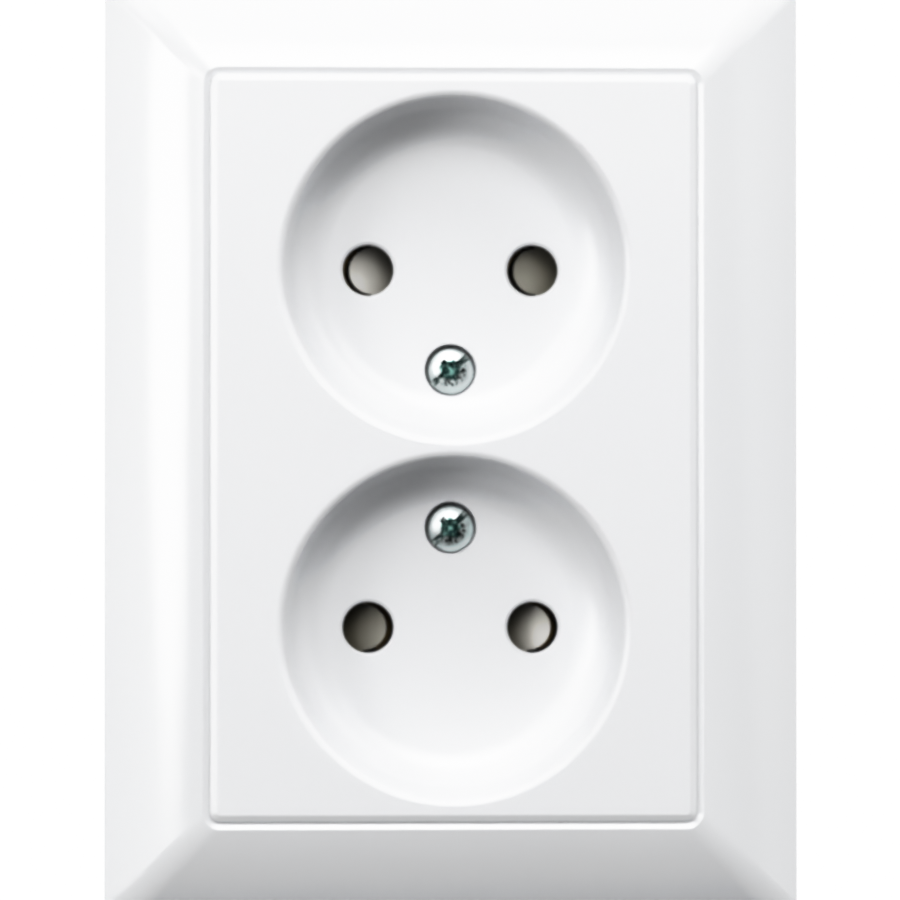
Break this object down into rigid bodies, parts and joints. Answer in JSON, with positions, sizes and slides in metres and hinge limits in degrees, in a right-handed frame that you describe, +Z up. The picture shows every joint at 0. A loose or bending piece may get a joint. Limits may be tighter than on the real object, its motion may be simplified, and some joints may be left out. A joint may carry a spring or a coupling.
{
  "type": "double wall socket",
  "caption": "Flush wall socket with stacked round cups in one plate, crowned rectangular frame, sliding pin shutters, spring terminals and a screw-fixed support plate.",
  "frame": {"origin": "on the wall plane, midway between the two box screws, at the centre of the frame", "axes": "+Z up, +X to the right as seen from the room, -Y out into the room, +Y into the wall"},
  "size_m": [0.08, 0.0373, 0.11],
  "materials": {
    "white_frame": "gloss pure white moulding",
    "white_plate": "gloss pure white moulding",
    "zinc_screw": "bright zinc plated steel with a blue-green passivation",
    "insert_brass": "turned brass",
    "shutter_plastic": "satin warm grey moulding",
    "spring_steel": "plain spring steel",
    "dark_plastic": "matt black moulding",
    "housing_plastic": "matt pale grey moulding",
    "contact_brass": "stamped brass sheet",
    "button_plastic": "satin orange moulding",
    "zinc_plate": "zinc plated pressed steel",
    "zinc_rivet": "zinc plated rivet"
  },
  "bodies": {
    "socket": {"cover_frame": "white_frame", "centre_plate": "white_plate", "cover_screws": "zinc_screw", "screw_inserts": "insert_brass", "upper_shutter_spring": "spring_steel", "lower_shutter_spring": "spring_steel", "contact_cover": "dark_plastic", "rear_housing": "housing_plastic", "left_contact_strip": "contact_brass", "right_contact_strip": "contact_brass", "support_plate": "zinc_plate", "support_rivets": "zinc_rivet", "upper_left_contact_spring": "spring_steel", "upper_left_terminal_spring": "spring_steel", "upper_right_contact_spring": "spring_steel", "upper_right_terminal_spring": "spring_steel", "lower_left_contact_spring": "spring_steel", "lower_left_terminal_spring": "spring_steel", "lower_right_contact_spring": "spring_steel", "lower_right_terminal_spring": "spring_steel"},
    "upper_shutter": {"upper_shutter": "shutter_plastic"},
    "lower_shutter": {"lower_shutter": "shutter_plastic"},
    "left_release_button": {"left_release_button": "button_plastic"},
    "right_release_button": {"right_release_button": "button_plastic"}
  },
  "joints": [
    {"name": "upper_shutter_slide", "type": "slide", "parent": "socket", "child": "upper_shutter", "axis": [-1, 0, 0], "range_m": [0, 0.006], "stiffness_N_per_m": 120, "springref_m": -0.003, "deforming": ["upper_shutter_spring"]},
    {"name": "lower_shutter_slide", "type": "slide", "parent": "socket", "child": "lower_shutter", "axis": [1, 0, 0], "range_m": [0, 0.006], "stiffness_N_per_m": 120, "springref_m": -0.003, "deforming": ["lower_shutter_spring"]},
    {"name": "left_release_press", "type": "slide", "parent": "socket", "child": "left_release_button", "axis": [0, -1, 0], "range_m": [0, 0.0015], "stiffness_N_per_m": 2000, "springref_m": -0.0005, "deforming": ["upper_left_terminal_spring", "lower_left_terminal_spring"]},
    {"name": "right_release_press", "type": "slide", "parent": "socket", "child": "right_release_button", "axis": [0, -1, 0], "range_m": [0, 0.0015], "stiffness_N_per_m": 2000, "springref_m": -0.0005, "deforming": ["upper_right_terminal_spring", "lower_right_terminal_spring"]}
  ]
}
